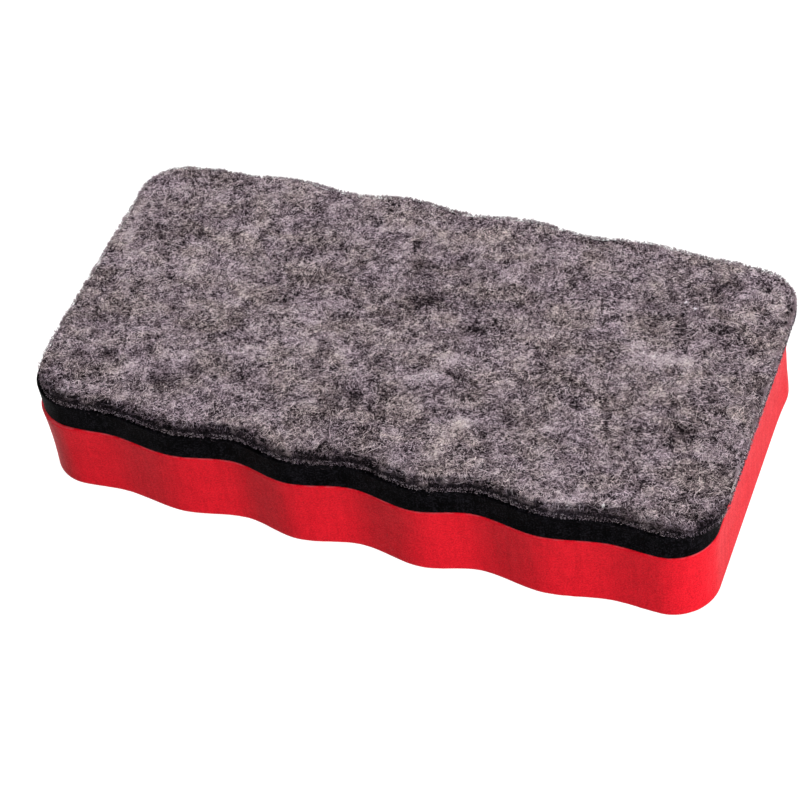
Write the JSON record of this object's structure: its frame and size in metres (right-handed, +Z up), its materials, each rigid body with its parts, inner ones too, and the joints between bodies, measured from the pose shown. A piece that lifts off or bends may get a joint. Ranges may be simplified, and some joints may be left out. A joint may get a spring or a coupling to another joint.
{
  "type": "chalkboard eraser",
  "caption": "Hand-held chalkboard eraser: wavy-sided foam grip block with a thinner foam backing and a felt wiping pad, glued in a stack.",
  "frame": {"origin": "middle of the bounding box, on the underside of the grip, which is the face that the eraser lies on with its felt up", "axes": "+X along the length, +Y across the width, +Z up from the grip to the wiping felt"},
  "size_m": [0.1114, 0.055, 0.022],
  "materials": {
    "red_foam": "matte closed-cell foam with a fine cut grain",
    "black_foam": "matte closed-cell foam with a fine cut grain",
    "grey_felt": "fuzzy mottled needle-punched felt",
    "glue_film": "clear hot-melt film"
  },
  "bodies": {
    "root": {"grip_body": "red_foam", "grip_glue_film": "glue_film", "backing_foam": "black_foam", "felt_glue_film": "glue_film", "wiping_felt": "grey_felt"}
  },
  "joints": []
}
